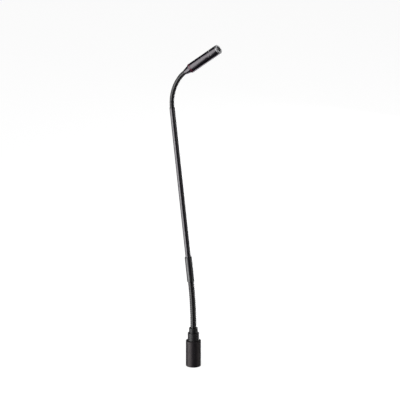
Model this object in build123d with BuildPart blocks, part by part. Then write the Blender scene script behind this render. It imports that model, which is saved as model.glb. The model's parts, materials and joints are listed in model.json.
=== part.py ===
from build123d import *
import os
from math import cos, radians, sin

# Gooseneck podium microphone: a three-pin plug base, a lower gooseneck, a rigid stem, an
# upper gooseneck and a slim condenser head. The origin is on the plug's axis at the rim of
# its shell, with +Z up. At rest both necks bend in the XZ plane, and the head leans to +X.

os.makedirs("parts", exist_ok=True)

# ---- Driving dimensions, in millimetres and degrees ----
# Plug base, heights measured up from the shell's rim
SHELL_RADIUS = 9.5
SHELL_BORE_RADIUS = 8.05
SHELL_HEIGHT = 33.4
SHELL_TOP = 2.0
SOCKET_DEPTH = 15.0
INSERT_LENGTH = 6.5
PIN_RADIUS = 1.2
PIN_CIRCLE_RADIUS = 4.765
PIN_ANGLES = (20, 160, 270)
PIN_TIP_HEIGHT = 1.5
PIN_FOOT_RADIUS = 1.5
SOLDER_TAIL_RADIUS = 0.7
SOLDER_TAIL_LENGTH = 4.8
LATCH_WINDOW = (3.6, 4.6)
LATCH_HEIGHT = 7.0
SCREW_RADIUS = 1.0
SCREW_HEIGHT = 18.3
SCREW_ANGLE = -62
SCREW_SLOT = 0.35
COLLAR_RADIUS = 7.1
COLLAR_TOP = 43.5
COLLAR_GROOVES = 3
GROOVE_START = 2.2
GROOVE_PITCH = 2.4
GROOVE_WIDTH = 0.7
GROOVE_DEPTH = 0.35
RELIEF_RADIUS = 5.5
RELIEF_TOP = 50.2

# Lower gooseneck, sleeve, stem and upper gooseneck, measured along the centre line
LOWER_NECK_RADIUS = 3.85
LOWER_NECK_BORE = 2.2
LOWER_NECK_LENGTH = 60.7
LOWER_NECK_JOINTS = 7
LOWER_NECK_GAP = 1.1
STEM_LEAN = 6.25
SLEEVE_RADIUS = 4.6
SLEEVE_LENGTH = 32.5
STEM_RADIUS = 3.45
STEM_WALL = 0.4
STEM_VISIBLE_LENGTH = 197.0
UPPER_NECK_RADIUS = 3.0
UPPER_NECK_BORE = 1.75
UPPER_NECK_JOINTS = 9
UPPER_NECK_GAP = 1.2
EASY_BEND_LENGTH = 45.0
EASY_BEND_TURN = 42.0
TIGHT_BEND_LENGTH = 9.0
TIGHT_BEND_TURN = 15.5
CABLE_RADIUS = 1.4
NECK_GRIP = 14.0

# Head, measured along its own axis from the tail cone's small end
HEAD_RADIUS = 6.15
HEAD_WALL = 1.0
HEAD_LENGTH = 57.1
CONE_LENGTH = 8.9
CONE_TAIL_RADIUS = 3.3
CONE_NOSE_RADIUS = 5.4
FLANGE_THICKNESS = 0.5
INDICATOR_LENGTH = 3.0
SPIGOT_RADIUS = 5.1
SPIGOT_BORE = 4.4
SPIGOT_LENGTH = 6.6
ELEMENT_START = 41.0
PORT_POSITION = 45.4
PORT_RADIUS = 1.0
PORT_COUNT = 6
PORT_SEAT_RADIUS = 5.5
FRONT_RING_LENGTH = 1.6
FRONT_OPENING_RADIUS = 3.7

# Neck anchor: a threaded bush through the shell's top, with a flange under the collar
ANCHOR_FOOT = 27.6
ANCHOR_THREAD_RADIUS = 4.4
ANCHOR_FLANGE_RADIUS = 6.0
ANCHOR_FLANGE_THICKNESS = 1.3
ANCHOR_BARREL_RADIUS = 4.9
ANCHOR_FLOOR = 34.9

# Boards and carriers
PREAMP_BOARD_HEIGHT = 24.6
BOARD_THICKNESS = 1.0
PREAMP_BOARD_RADIUS = 7.1
CARRIER_BORE_RADIUS = 7.2
CABLE_FOOT = 29.0
CAPSULE_POCKET_RADIUS = 5.0
CAPSULE_RADIUS = 4.45

FIT = 0.05  # radial clearance between nested pieces

NECK_EXIT = RELIEF_TOP
FRONT_RING_START = HEAD_LENGTH - FRONT_RING_LENGTH
INDICATOR_START = CONE_LENGTH + FLANGE_THICKNESS + FIT
HOUSING_START = INDICATOR_START + INDICATOR_LENGTH + FIT


# ---- Centre line: plug axis, lower bend, straight stem, upper bend in two arcs ----
with BuildLine(Plane.XZ) as centre_line:
    lower_bend = JernArc((0, NECK_EXIT), (0, 1), LOWER_NECK_LENGTH / radians(STEM_LEAN), STEM_LEAN)
    stem_length = SLEEVE_LENGTH + STEM_VISIBLE_LENGTH
    stem_line = Line(lower_bend @ 1, (lower_bend @ 1) + (lower_bend % 1) * stem_length)
    easy_bend = JernArc(
        stem_line @ 1, stem_line % 1, EASY_BEND_LENGTH / radians(EASY_BEND_TURN), -EASY_BEND_TURN
    )
    tight_bend = JernArc(
        easy_bend @ 1, easy_bend % 1, TIGHT_BEND_LENGTH / radians(TIGHT_BEND_TURN), -TIGHT_BEND_TURN
    )
    head_line = Line(tight_bend @ 1, (tight_bend @ 1) + (tight_bend % 1) * HEAD_LENGTH)

upper_neck_length = EASY_BEND_LENGTH + TIGHT_BEND_LENGTH
lower_pitch = LOWER_NECK_LENGTH / LOWER_NECK_JOINTS
upper_pitch = upper_neck_length / UPPER_NECK_JOINTS


def across(point, direction):
    """The plane square to a direction in the XZ plane, for sections."""
    return Plane(origin=point, x_dir=(0, 1, 0), z_dir=direction)


def along(point, direction):
    """The plane that holds a direction in the XZ plane as its y, for turned profiles."""
    return Plane(origin=point, x_dir=(direction.Z, 0, -direction.X), z_dir=(0, -1, 0))


def lower_stretch(start, end):
    """The lower neck's centre line between two distances from the relief collar."""
    return lower_bend.trim(start / LOWER_NECK_LENGTH, end / LOWER_NECK_LENGTH)


def stem_stretch(start, end):
    """The stem's centre line between two distances from the sleeve's lower end."""
    return stem_line.trim(start / stem_length, end / stem_length)


def upper_stretch(start, end):
    """The upper neck's centre line between two distances from the stem, within one arc."""
    if end <= EASY_BEND_LENGTH:
        return easy_bend.trim(start / EASY_BEND_LENGTH, end / EASY_BEND_LENGTH)
    start, end = start - EASY_BEND_LENGTH, end - EASY_BEND_LENGTH
    return tight_bend.trim(start / TIGHT_BEND_LENGTH, end / TIGHT_BEND_LENGTH)


def head_stretch(start, end):
    """The head's axis between two distances from the tail cone's small end."""
    return head_line.trim(start / HEAD_LENGTH, end / HEAD_LENGTH)


def hose(stretches, radius, bore=0):
    """A round bar or tube that follows stretches of centre line joined end to end."""
    path = Wire(stretches)
    with BuildPart() as body:
        with BuildSketch(across(path @ 0, path % 0)):
            Circle(radius)
            if bore:
                Circle(bore, mode=Mode.SUBTRACT)
        sweep(path=path)
    return body


pieces = {}

head_plane = across(head_line @ 0, head_line % 0)
head_side = along(head_line @ 0, head_line % 0)
head_axis = Axis(head_line @ 0, head_line % 0)


# ---- Plug base ----
with BuildPart() as connector_shell:
    with BuildSketch():
        Circle(SHELL_RADIUS)
    extrude(amount=SHELL_HEIGHT)
    rims = connector_shell.edges().filter_by(GeomType.CIRCLE).sort_by(Axis.Z)
    chamfer(rims[0], 0.4)
    fillet(rims[-1], 0.7)
    with BuildSketch():
        Circle(SHELL_BORE_RADIUS)
    extrude(amount=SHELL_HEIGHT - SHELL_TOP, mode=Mode.SUBTRACT)
    with BuildSketch(Plane.XY.offset(SHELL_HEIGHT - SHELL_TOP)):
        Circle(ANCHOR_THREAD_RADIUS + FIT)
    extrude(amount=SHELL_TOP, mode=Mode.SUBTRACT)
    # latch window, on the side away from pin 3
    with BuildSketch(Plane.XZ.offset(-SHELL_RADIUS)):
        with Locations((0, LATCH_HEIGHT)):
            RectangleRounded(*LATCH_WINDOW, 0.6)
    extrude(amount=SHELL_RADIUS / 2, mode=Mode.SUBTRACT)
    # clearance hole for the retaining screw
    screw_direction = Vector(cos(radians(SCREW_ANGLE)), sin(radians(SCREW_ANGLE)), 0)
    screw_plane = Plane(origin=(0, 0, SCREW_HEIGHT), x_dir=(0, 0, 1), z_dir=screw_direction)
    with BuildSketch(screw_plane):
        Circle(SCREW_RADIUS + FIT)
    extrude(amount=SHELL_RADIUS + 1, mode=Mode.SUBTRACT)
pieces["connector_shell"] = connector_shell

insert_top = SOCKET_DEPTH + INSERT_LENGTH
pin_places = [
    (PIN_CIRCLE_RADIUS * cos(radians(angle)), PIN_CIRCLE_RADIUS * sin(radians(angle)))
    for angle in PIN_ANGLES
]
with BuildPart() as pin_insert:
    with BuildSketch(Plane.XY.offset(SOCKET_DEPTH)):
        Circle(SHELL_BORE_RADIUS - FIT)
        with Locations(*pin_places):
            Circle(PIN_FOOT_RADIUS, mode=Mode.SUBTRACT)
    extrude(amount=INSERT_LENGTH)
    # raised boss between the pins, and the tapped hole for the retaining screw
    boss_radius, boss_height, tapped_depth = 2.2, 0.6, 3.0
    with BuildSketch(Plane.XY.offset(SOCKET_DEPTH)):
        Circle(boss_radius)
    extrude(amount=-boss_height)
    with BuildSketch(screw_plane.offset(SHELL_BORE_RADIUS - tapped_depth)):
        Circle(SCREW_RADIUS)
    extrude(amount=tapped_depth, mode=Mode.SUBTRACT)
pieces["pin_insert"] = pin_insert

with BuildPart() as contact_pins:
    with BuildSketch(Plane.XY.offset(PIN_TIP_HEIGHT)):
        with Locations(*pin_places):
            Circle(PIN_RADIUS)
    extrude(amount=SOCKET_DEPTH - PIN_TIP_HEIGHT)
    fillet(contact_pins.edges().group_by(Axis.Z)[0], PIN_RADIUS - 0.1)
    with BuildSketch(Plane.XY.offset(SOCKET_DEPTH)):
        with Locations(*pin_places):
            Circle(PIN_FOOT_RADIUS)
    extrude(amount=INSERT_LENGTH)
    with BuildSketch(Plane.XY.offset(insert_top)):
        with Locations(*pin_places):
            Circle(SOLDER_TAIL_RADIUS)
    extrude(amount=SOLDER_TAIL_LENGTH)
pieces["contact_pins"] = contact_pins

# a leaf on top of the insert that joins the cable's screen to the shell
leaf_inner_radius, leaf_thickness = 5.6, 0.4
leaf_start_angle, leaf_angle = 195, 50
with BuildPart() as shell_contact:
    with BuildSketch(Plane.XY.offset(insert_top)):
        with BuildLine():
            leaf_outer = CenterArc((0, 0), SHELL_BORE_RADIUS - FIT, leaf_start_angle, leaf_angle)
            leaf_inner = CenterArc((0, 0), leaf_inner_radius, leaf_start_angle, leaf_angle)
            Line(leaf_outer @ 0, leaf_inner @ 0)
            Line(leaf_outer @ 1, leaf_inner @ 1)
        make_face()
    extrude(amount=leaf_thickness)
pieces["shell_contact"] = shell_contact

# a slotted grub screw, its end just under the shell's surface
screw_tip = SHELL_BORE_RADIUS - 2.5
screw_end = SHELL_RADIUS - 0.2
slot_depth = 0.7
with BuildPart() as retaining_screw:
    with BuildSketch(screw_plane.offset(screw_tip)):
        Circle(SCREW_RADIUS - 0.02)
    extrude(amount=screw_end - screw_tip)
    with BuildSketch(screw_plane.offset(screw_end - slot_depth)):
        Rectangle(3 * SCREW_RADIUS, SCREW_SLOT)
    extrude(amount=slot_depth, mode=Mode.SUBTRACT)
pieces["retaining_screw"] = retaining_screw

carrier_start = insert_top + 0.7
board_top = PREAMP_BOARD_HEIGHT + BOARD_THICKNESS
with BuildPart() as insulating_sleeve:
    with BuildSketch(Plane.XY.offset(carrier_start)):
        Circle(SHELL_BORE_RADIUS - FIT)
        Circle(CARRIER_BORE_RADIUS, mode=Mode.SUBTRACT)
    extrude(amount=SHELL_HEIGHT - SHELL_TOP - carrier_start - 0.1)
pieces["insulating_sleeve"] = insulating_sleeve

with BuildPart() as preamp_board:
    with BuildSketch(Plane.XY.offset(PREAMP_BOARD_HEIGHT)):
        Circle(PREAMP_BOARD_RADIUS)
        with Locations(*pin_places):
            Circle(SOLDER_TAIL_RADIUS + FIT, mode=Mode.SUBTRACT)
    extrude(amount=BOARD_THICKNESS)
pieces["preamp_board"] = preamp_board

# two flat capacitors, three chip resistors and an output transistor, all on the board
with BuildPart() as preamp_components:
    with BuildSketch(Plane.XY.offset(board_top)):
        with Locations((-3.4, -3.4), (3.4, -3.4)):
            Circle(1.8)
    extrude(amount=1.8)
    with BuildSketch(Plane.XY.offset(board_top)):
        with Locations((-2.4, 4.7), (0, 5.3), (2.4, 4.7)):
            Rectangle(1.2, 2.0)
    extrude(amount=0.7)
    with BuildSketch(Plane.XY.offset(board_top)):
        with Locations((-5.4, -0.6)):
            Rectangle(1.6, 2.2)
    extrude(amount=1.1)
pieces["preamp_components"] = preamp_components

flange_top = SHELL_HEIGHT + ANCHOR_FLANGE_THICKNESS
with BuildPart() as neck_anchor:
    with BuildSketch(Plane.XY.offset(ANCHOR_FOOT)):
        Circle(ANCHOR_THREAD_RADIUS)
    extrude(amount=SHELL_HEIGHT - ANCHOR_FOOT)
    with BuildSketch(Plane.XY.offset(SHELL_HEIGHT)):
        Circle(ANCHOR_FLANGE_RADIUS)
    extrude(amount=ANCHOR_FLANGE_THICKNESS)
    with BuildSketch(Plane.XY.offset(flange_top)):
        Circle(ANCHOR_BARREL_RADIUS)
    extrude(amount=COLLAR_TOP - flange_top)
    with BuildSketch(Plane.XY.offset(ANCHOR_FOOT)):
        Circle(LOWER_NECK_BORE)
    extrude(amount=COLLAR_TOP - ANCHOR_FOOT, mode=Mode.SUBTRACT)
    with BuildSketch(Plane.XY.offset(ANCHOR_FLOOR)):
        Circle(LOWER_NECK_RADIUS + FIT)
    extrude(amount=COLLAR_TOP - ANCHOR_FLOOR, mode=Mode.SUBTRACT)
pieces["neck_anchor"] = neck_anchor

nut_height, nut_half_flat = 2.3, 6.0
with BuildPart() as anchor_nut:
    with BuildSketch(Plane.XY.offset(SHELL_HEIGHT - SHELL_TOP - nut_height - 0.1)):
        RegularPolygon(nut_half_flat, 6, major_radius=False)
        Circle(ANCHOR_THREAD_RADIUS + FIT, mode=Mode.SUBTRACT)
    extrude(amount=nut_height)
pieces["anchor_nut"] = anchor_nut

with BuildPart() as isolator_collar:
    with BuildSketch(Plane.XY.offset(SHELL_HEIGHT)):
        Circle(COLLAR_RADIUS)
        Circle(ANCHOR_BARREL_RADIUS + FIT, mode=Mode.SUBTRACT)
    extrude(amount=COLLAR_TOP - SHELL_HEIGHT)
    with BuildSketch(Plane.XY.offset(SHELL_HEIGHT)):
        Circle(ANCHOR_FLANGE_RADIUS + FIT)
    extrude(amount=ANCHOR_FLANGE_THICKNESS + FIT, mode=Mode.SUBTRACT)
    fillet(isolator_collar.edges().filter_by(GeomType.CIRCLE).sort_by(Axis.Z)[-1], 0.6)
    # shallow grooves let the rubber flex
    for groove in range(COLLAR_GROOVES):
        with BuildSketch(Plane.XY.offset(SHELL_HEIGHT + GROOVE_START + groove * GROOVE_PITCH)):
            Circle(COLLAR_RADIUS)
            Circle(COLLAR_RADIUS - GROOVE_DEPTH, mode=Mode.SUBTRACT)
        extrude(amount=GROOVE_WIDTH, mode=Mode.SUBTRACT)
pieces["isolator_collar"] = isolator_collar

with BuildPart() as relief_collar:
    with BuildSketch(Plane.XY.offset(COLLAR_TOP)):
        Circle(RELIEF_RADIUS)
        Circle(LOWER_NECK_RADIUS + FIT, mode=Mode.SUBTRACT)
    extrude(amount=RELIEF_TOP - COLLAR_TOP)
    outer_edges = relief_collar.edges().filter_by(GeomType.CIRCLE).group_by(Axis.Z)[-1]
    fillet(outer_edges.sort_by(SortBy.RADIUS)[-1], 0.9)
pieces["relief_collar"] = relief_collar


# ---- Lower gooseneck: a fixed root, links between the joints, and an end in the sleeve ----
def neck_spans(count, pitch, gap):
    """Start and end of each free link, between one joint and the next."""
    joints = [(index + 0.5) * pitch for index in range(count)]
    return [(low + gap / 2, high - gap / 2) for low, high in zip(joints, joints[1:])]


root_line = Edge.make_line((0, 0, ANCHOR_FLOOR + 0.1), (0, 0, NECK_EXIT))
lower_root_end = (lower_pitch - LOWER_NECK_GAP) / 2
pieces["lower_coil_0"] = hose(
    [root_line, lower_stretch(0, lower_root_end)], LOWER_NECK_RADIUS, LOWER_NECK_BORE
)
lower_spans = neck_spans(LOWER_NECK_JOINTS, lower_pitch, LOWER_NECK_GAP)
for index, (start, end) in enumerate(lower_spans, 1):
    pieces[f"lower_coil_{index}"] = hose(
        [lower_stretch(start, end)], LOWER_NECK_RADIUS, LOWER_NECK_BORE
    )
pieces[f"lower_coil_{LOWER_NECK_JOINTS}"] = hose(
    [
        lower_stretch(LOWER_NECK_LENGTH - lower_root_end, LOWER_NECK_LENGTH),
        stem_stretch(0, NECK_GRIP),
    ],
    LOWER_NECK_RADIUS,
    LOWER_NECK_BORE,
)

cable_foot = Edge.make_line((0, 0, CABLE_FOOT), (0, 0, NECK_EXIT))
pieces["lower_cable"] = hose(
    [cable_foot, lower_stretch(0, LOWER_NECK_LENGTH), stem_stretch(0, NECK_GRIP)], CABLE_RADIUS
)

lead_radius, lead_circle_radius = 0.4, 0.8
with BuildPart() as core_leads:
    with BuildSketch(Plane.XY.offset(board_top)):
        with PolarLocations(lead_circle_radius, len(PIN_ANGLES)):
            Circle(lead_radius)
    extrude(amount=CABLE_FOOT - board_top)
pieces["core_leads"] = core_leads


# ---- Sleeve and stem ----
tube_start = NECK_GRIP + 1.5
with BuildPart() as stem_sleeve:
    with BuildSketch(across(stem_line @ 0, stem_line % 0)):
        Circle(SLEEVE_RADIUS)
    extrude(amount=SLEEVE_LENGTH)
    chamfer(stem_sleeve.edges().filter_by(GeomType.CIRCLE), 0.45)
    with BuildSketch(across(stem_line @ 0, stem_line % 0)):
        Circle(LOWER_NECK_RADIUS + FIT)
    extrude(amount=NECK_GRIP + FIT, mode=Mode.SUBTRACT)
    with BuildSketch(across(stem_line @ 0, stem_line % 0)):
        Circle(STEM_RADIUS - STEM_WALL)
    extrude(amount=SLEEVE_LENGTH, mode=Mode.SUBTRACT)
    with BuildSketch(across(stem_line @ (tube_start / stem_length), stem_line % 0)):
        Circle(STEM_RADIUS + FIT)
    extrude(amount=SLEEVE_LENGTH - tube_start, mode=Mode.SUBTRACT)
pieces["stem_sleeve"] = stem_sleeve

pieces["stem_tube"] = hose(
    [stem_stretch(tube_start, stem_length)], STEM_RADIUS, STEM_RADIUS - STEM_WALL
)
upper_grip_start = stem_length - NECK_GRIP
pieces["stem_cable"] = hose(
    [stem_stretch(NECK_GRIP + 0.3, upper_grip_start - 0.3)], CABLE_RADIUS
)


# ---- Upper gooseneck, built the same way, from the stem to the tail cone ----
cone_grip = 7.0
upper_root_end = (upper_pitch - UPPER_NECK_GAP) / 2
pieces["upper_coil_0"] = hose(
    [stem_stretch(upper_grip_start, stem_length), upper_stretch(0, upper_root_end)],
    UPPER_NECK_RADIUS,
    UPPER_NECK_BORE,
)
upper_spans = neck_spans(UPPER_NECK_JOINTS, upper_pitch, UPPER_NECK_GAP)
for index, (start, end) in enumerate(upper_spans, 1):
    pieces[f"upper_coil_{index}"] = hose(
        [upper_stretch(start, end)], UPPER_NECK_RADIUS, UPPER_NECK_BORE
    )
pieces[f"upper_coil_{UPPER_NECK_JOINTS}"] = hose(
    [
        upper_stretch(upper_neck_length - upper_root_end, upper_neck_length),
        head_stretch(0, cone_grip),
    ],
    UPPER_NECK_RADIUS,
    UPPER_NECK_BORE,
)
pieces["upper_cable"] = hose(
    [stem_stretch(upper_grip_start, stem_length), easy_bend, tight_bend, head_stretch(0, 9.4)],
    CABLE_RADIUS,
)


# ---- Head: tail cone, lit ring, housing and board ----
with BuildPart() as tail_cone:
    with BuildSketch(head_side):
        with BuildLine():
            Polyline(
                (UPPER_NECK_RADIUS + FIT, 0),
                (CONE_TAIL_RADIUS, 0),
                (CONE_NOSE_RADIUS, CONE_LENGTH),
                (HEAD_RADIUS, CONE_LENGTH),
                (HEAD_RADIUS, CONE_LENGTH + FLANGE_THICKNESS),
                (SPIGOT_RADIUS, CONE_LENGTH + FLANGE_THICKNESS),
                (SPIGOT_RADIUS, CONE_LENGTH + FLANGE_THICKNESS + SPIGOT_LENGTH),
                (SPIGOT_BORE, CONE_LENGTH + FLANGE_THICKNESS + SPIGOT_LENGTH),
                (SPIGOT_BORE, CONE_LENGTH),
                (UPPER_NECK_BORE, CONE_LENGTH),
                (UPPER_NECK_BORE, cone_grip + 0.1),
                (UPPER_NECK_RADIUS + FIT, cone_grip + 0.1),
                close=True,
            )
        make_face()
    revolve(axis=head_axis)
    # a window each side of the spigot lets the lamps light the ring
    lamp_position = INDICATOR_START + INDICATOR_LENGTH / 2
    lamp_window_radius = 1.1
    lamp_point = (head_line @ 0) + (head_line % 0) * lamp_position
    across_board = Vector((head_line % 0).Z, 0, -(head_line % 0).X)
    with BuildSketch(Plane(origin=lamp_point, x_dir=(0, 1, 0), z_dir=across_board)):
        Circle(lamp_window_radius)
    extrude(amount=SPIGOT_RADIUS + 0.2, both=True, mode=Mode.SUBTRACT)
pieces["tail_cone"] = tail_cone

with BuildPart() as indicator_ring:
    with BuildSketch(head_plane.offset(INDICATOR_START)):
        Circle(HEAD_RADIUS - FIT)
        Circle(SPIGOT_RADIUS + FIT, mode=Mode.SUBTRACT)
    extrude(amount=INDICATOR_LENGTH)
pieces["indicator_ring"] = indicator_ring

with BuildPart() as head_housing:
    with BuildSketch(head_plane.offset(HOUSING_START)):
        Circle(HEAD_RADIUS)
        Circle(HEAD_RADIUS - HEAD_WALL, mode=Mode.SUBTRACT)
    extrude(amount=ELEMENT_START - HOUSING_START)
pieces["head_housing"] = head_housing

board_start, board_length, board_width = 10.0, 27.0, 8.2
board_half = BOARD_THICKNESS / 2
with BuildPart() as head_board:
    with BuildSketch(head_plane.offset(board_start)):
        Rectangle(BOARD_THICKNESS, board_width, rotation=90)
    extrude(amount=board_length)
pieces["head_board"] = head_board

# one lamp on each face of the board, under the spigot's windows
lamp_planes = [
    Plane(origin=lamp_point + outward * board_half, x_dir=(0, 1, 0), z_dir=outward)
    for outward in (across_board, -across_board)
]
with BuildPart() as indicator_lamps:
    with BuildSketch(*lamp_planes):
        Rectangle(1.3, 1.8)
    extrude(amount=1.1)
pieces["indicator_lamps"] = indicator_lamps

# field-effect transistor, resistors and coupling capacitor along one face of the board
board_middle = board_start + board_length / 2
component_plane = Plane(
    origin=(head_line @ (board_middle / HEAD_LENGTH)) + across_board * board_half,
    x_dir=head_line % 0,
    z_dir=across_board,
)
with BuildPart() as head_components:
    with BuildSketch(component_plane):
        with Locations((-6, 1.6), (-6, -1.6), (-2.6, 0)):
            Rectangle(2.0, 1.25)
    extrude(amount=0.6)
    with BuildSketch(component_plane):
        with Locations((2.4, 0)):
            Rectangle(3.0, 2.4)
    extrude(amount=1.2)
    with BuildSketch(component_plane):
        with Locations((8.4, 0)):
            Circle(2.0)
    extrude(amount=2.4)
pieces["head_components"] = head_components


# ---- Head: element housing with its ports, capsule and front ring ----
capsule_start, capsule_length = 48.7, 6.0
element_seat = capsule_start - 0.4
spigot_overlap = 3.4
spigot_bore = 4.1
thread_relief = 2.4
mesh_length, mesh_thickness = 3.6, 0.2
port_point = (head_line @ 0) + (head_line % 0) * PORT_POSITION
with BuildPart() as element_housing:
    with BuildSketch(head_plane.offset(ELEMENT_START)):
        Circle(HEAD_RADIUS)
    extrude(amount=FRONT_RING_START - ELEMENT_START)
    with BuildSketch(head_plane.offset(ELEMENT_START - spigot_overlap)):
        Circle(HEAD_RADIUS - HEAD_WALL - FIT)
    extrude(amount=spigot_overlap)
    with BuildSketch(head_plane.offset(ELEMENT_START - spigot_overlap)):
        Circle(spigot_bore)
    extrude(amount=FRONT_RING_START, mode=Mode.SUBTRACT)
    with BuildSketch(head_plane.offset(ELEMENT_START + thread_relief)):
        Circle(CAPSULE_POCKET_RADIUS)
    extrude(amount=FRONT_RING_START, mode=Mode.SUBTRACT)
    # the mesh lies in a groove close under the ports
    with BuildSketch(head_plane.offset(PORT_POSITION - mesh_length / 2 - FIT)):
        Circle(PORT_SEAT_RADIUS)
    extrude(amount=mesh_length + 2 * FIT, mode=Mode.SUBTRACT)
    port_planes = [
        Plane(origin=port_point, x_dir=head_line % 0, z_dir=Vector(0, 1, 0).rotate(head_axis, turn))
        for turn in range(0, 360, 360 // PORT_COUNT)
    ]
    with BuildSketch(*port_planes):
        Circle(PORT_RADIUS)
    extrude(amount=HEAD_RADIUS + 1, mode=Mode.SUBTRACT)
pieces["element_housing"] = element_housing

with BuildPart() as port_mesh:
    with BuildSketch(head_plane.offset(PORT_POSITION - mesh_length / 2)):
        Circle(PORT_SEAT_RADIUS - FIT)
        Circle(PORT_SEAT_RADIUS - FIT - mesh_thickness, mode=Mode.SUBTRACT)
    extrude(amount=mesh_length)
pieces["port_mesh"] = port_mesh

# a soft cup that carries the capsule, with a thin lip under its back
cup_length, cup_lip, cup_lip_radius = 6.3, 0.35, 3.9
with BuildPart() as capsule_mount:
    with BuildSketch(head_plane.offset(element_seat)):
        Circle(CAPSULE_POCKET_RADIUS - FIT)
        Circle(CAPSULE_RADIUS + FIT, mode=Mode.SUBTRACT)
    extrude(amount=cup_length)
    with BuildSketch(head_plane.offset(element_seat)):
        Circle(CAPSULE_POCKET_RADIUS - FIT)
        Circle(cup_lip_radius, mode=Mode.SUBTRACT)
    extrude(amount=cup_lip)
pieces["capsule_mount"] = capsule_mount

case_back, case_front, case_bore = 1.2, 0.3, 4.2
front_hole_radius = 2.4
back_hole_radius, back_hole_circle, back_holes = 0.5, 2.6, 6
with BuildPart() as capsule_case:
    with BuildSketch(head_plane.offset(capsule_start)):
        Circle(CAPSULE_RADIUS)
    extrude(amount=capsule_length)
    with BuildSketch(head_plane.offset(capsule_start + case_back)):
        Circle(case_bore)
    extrude(amount=capsule_length - case_back - case_front, mode=Mode.SUBTRACT)
    with BuildSketch(head_plane.offset(capsule_start)):
        with PolarLocations(back_hole_circle, back_holes):
            Circle(back_hole_radius)
    extrude(amount=case_back, mode=Mode.SUBTRACT)
    with BuildSketch(head_plane.offset(capsule_start + capsule_length - case_front)):
        Circle(front_hole_radius)
    extrude(amount=case_front, mode=Mode.SUBTRACT)
pieces["capsule_case"] = capsule_case

disc_radius = case_bore - 0.1
plate_start, plate_thickness = capsule_start + 4.0, 0.5
with BuildPart() as capsule_backplate:
    with BuildSketch(head_plane.offset(plate_start)):
        Circle(disc_radius)
        with PolarLocations(disc_radius * 0.6, back_holes):
            Circle(0.4, mode=Mode.SUBTRACT)
    extrude(amount=plate_thickness)
pieces["capsule_backplate"] = capsule_backplate

# the film and the ring it is stretched on, one glued piece
film_start, film_thickness, film_ring = plate_start + 0.7, 0.1, 0.6
with BuildPart() as capsule_diaphragm:
    with BuildSketch(head_plane.offset(film_start)):
        Circle(disc_radius)
    extrude(amount=film_thickness)
    with BuildSketch(head_plane.offset(film_start + film_thickness)):
        Circle(disc_radius)
        Circle(disc_radius - 0.8, mode=Mode.SUBTRACT)
    extrude(amount=film_ring)
pieces["capsule_diaphragm"] = capsule_diaphragm

ring_pocket = FRONT_RING_LENGTH - 0.6
with BuildPart() as front_ring:
    with BuildSketch(head_plane.offset(FRONT_RING_START)):
        Circle(HEAD_RADIUS)
    extrude(amount=FRONT_RING_LENGTH)
    front_edge = front_ring.edges().filter_by(GeomType.CIRCLE).sort_by(head_axis)[-1]
    fillet(front_edge, 0.6)
    with BuildSketch(head_plane.offset(FRONT_RING_START)):
        Circle(FRONT_OPENING_RADIUS)
    extrude(amount=FRONT_RING_LENGTH, mode=Mode.SUBTRACT)
    with BuildSketch(head_plane.offset(FRONT_RING_START)):
        Circle(CAPSULE_POCKET_RADIUS)
    extrude(amount=ring_pocket, mode=Mode.SUBTRACT)
pieces["front_ring"] = front_ring

grille_thickness = 0.4
mesh_hole_radius, mesh_rows = 0.32, 7
grille_start = FRONT_RING_START + ring_pocket - grille_thickness
with BuildPart() as front_grille:
    with BuildSketch(head_plane.offset(grille_start)):
        Circle(CAPSULE_POCKET_RADIUS - FIT)
        with HexLocations(mesh_hole_radius + 0.2, mesh_rows, mesh_rows):
            Circle(mesh_hole_radius, mode=Mode.SUBTRACT)
    extrude(amount=grille_thickness)
pieces["front_grille"] = front_grille

foam_start = FRONT_RING_START - 0.6
with BuildPart() as foam_disc:
    with BuildSketch(head_plane.offset(foam_start)):
        Circle(CAPSULE_POCKET_RADIUS - FIT)
    extrude(amount=grille_start - 0.1 - foam_start)
pieces["foam_disc"] = foam_disc


for name, piece in pieces.items():
    piece.part.label = name
    export_step(piece.part, f"parts/{name}.step")
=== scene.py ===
import json
import math

import bmesh
import bpy
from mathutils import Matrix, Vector, noise

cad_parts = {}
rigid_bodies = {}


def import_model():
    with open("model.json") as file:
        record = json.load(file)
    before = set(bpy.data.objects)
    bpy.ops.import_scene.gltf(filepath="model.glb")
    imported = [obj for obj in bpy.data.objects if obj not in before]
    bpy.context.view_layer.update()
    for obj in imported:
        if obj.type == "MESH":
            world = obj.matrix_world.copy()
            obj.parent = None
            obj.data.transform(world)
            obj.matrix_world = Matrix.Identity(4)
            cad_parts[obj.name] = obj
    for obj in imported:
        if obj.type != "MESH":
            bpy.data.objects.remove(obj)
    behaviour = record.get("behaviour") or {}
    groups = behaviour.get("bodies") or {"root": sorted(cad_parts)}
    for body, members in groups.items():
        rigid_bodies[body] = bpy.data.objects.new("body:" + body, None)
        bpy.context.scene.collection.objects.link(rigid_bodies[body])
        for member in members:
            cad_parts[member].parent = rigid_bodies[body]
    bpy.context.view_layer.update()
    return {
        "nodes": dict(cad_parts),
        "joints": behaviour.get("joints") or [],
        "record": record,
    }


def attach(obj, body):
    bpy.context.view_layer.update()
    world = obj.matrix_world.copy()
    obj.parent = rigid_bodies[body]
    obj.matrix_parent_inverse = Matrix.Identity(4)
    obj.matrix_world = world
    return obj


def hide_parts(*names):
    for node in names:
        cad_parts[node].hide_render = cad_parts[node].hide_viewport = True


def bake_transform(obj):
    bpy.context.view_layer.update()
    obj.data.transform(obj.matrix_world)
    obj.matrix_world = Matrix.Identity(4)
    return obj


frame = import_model()

# The looks of a gooseneck podium microphone. Lengths are in millimetres along and across the
# centre line, and MM turns them into Blender's metres.
MM = 0.001

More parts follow.
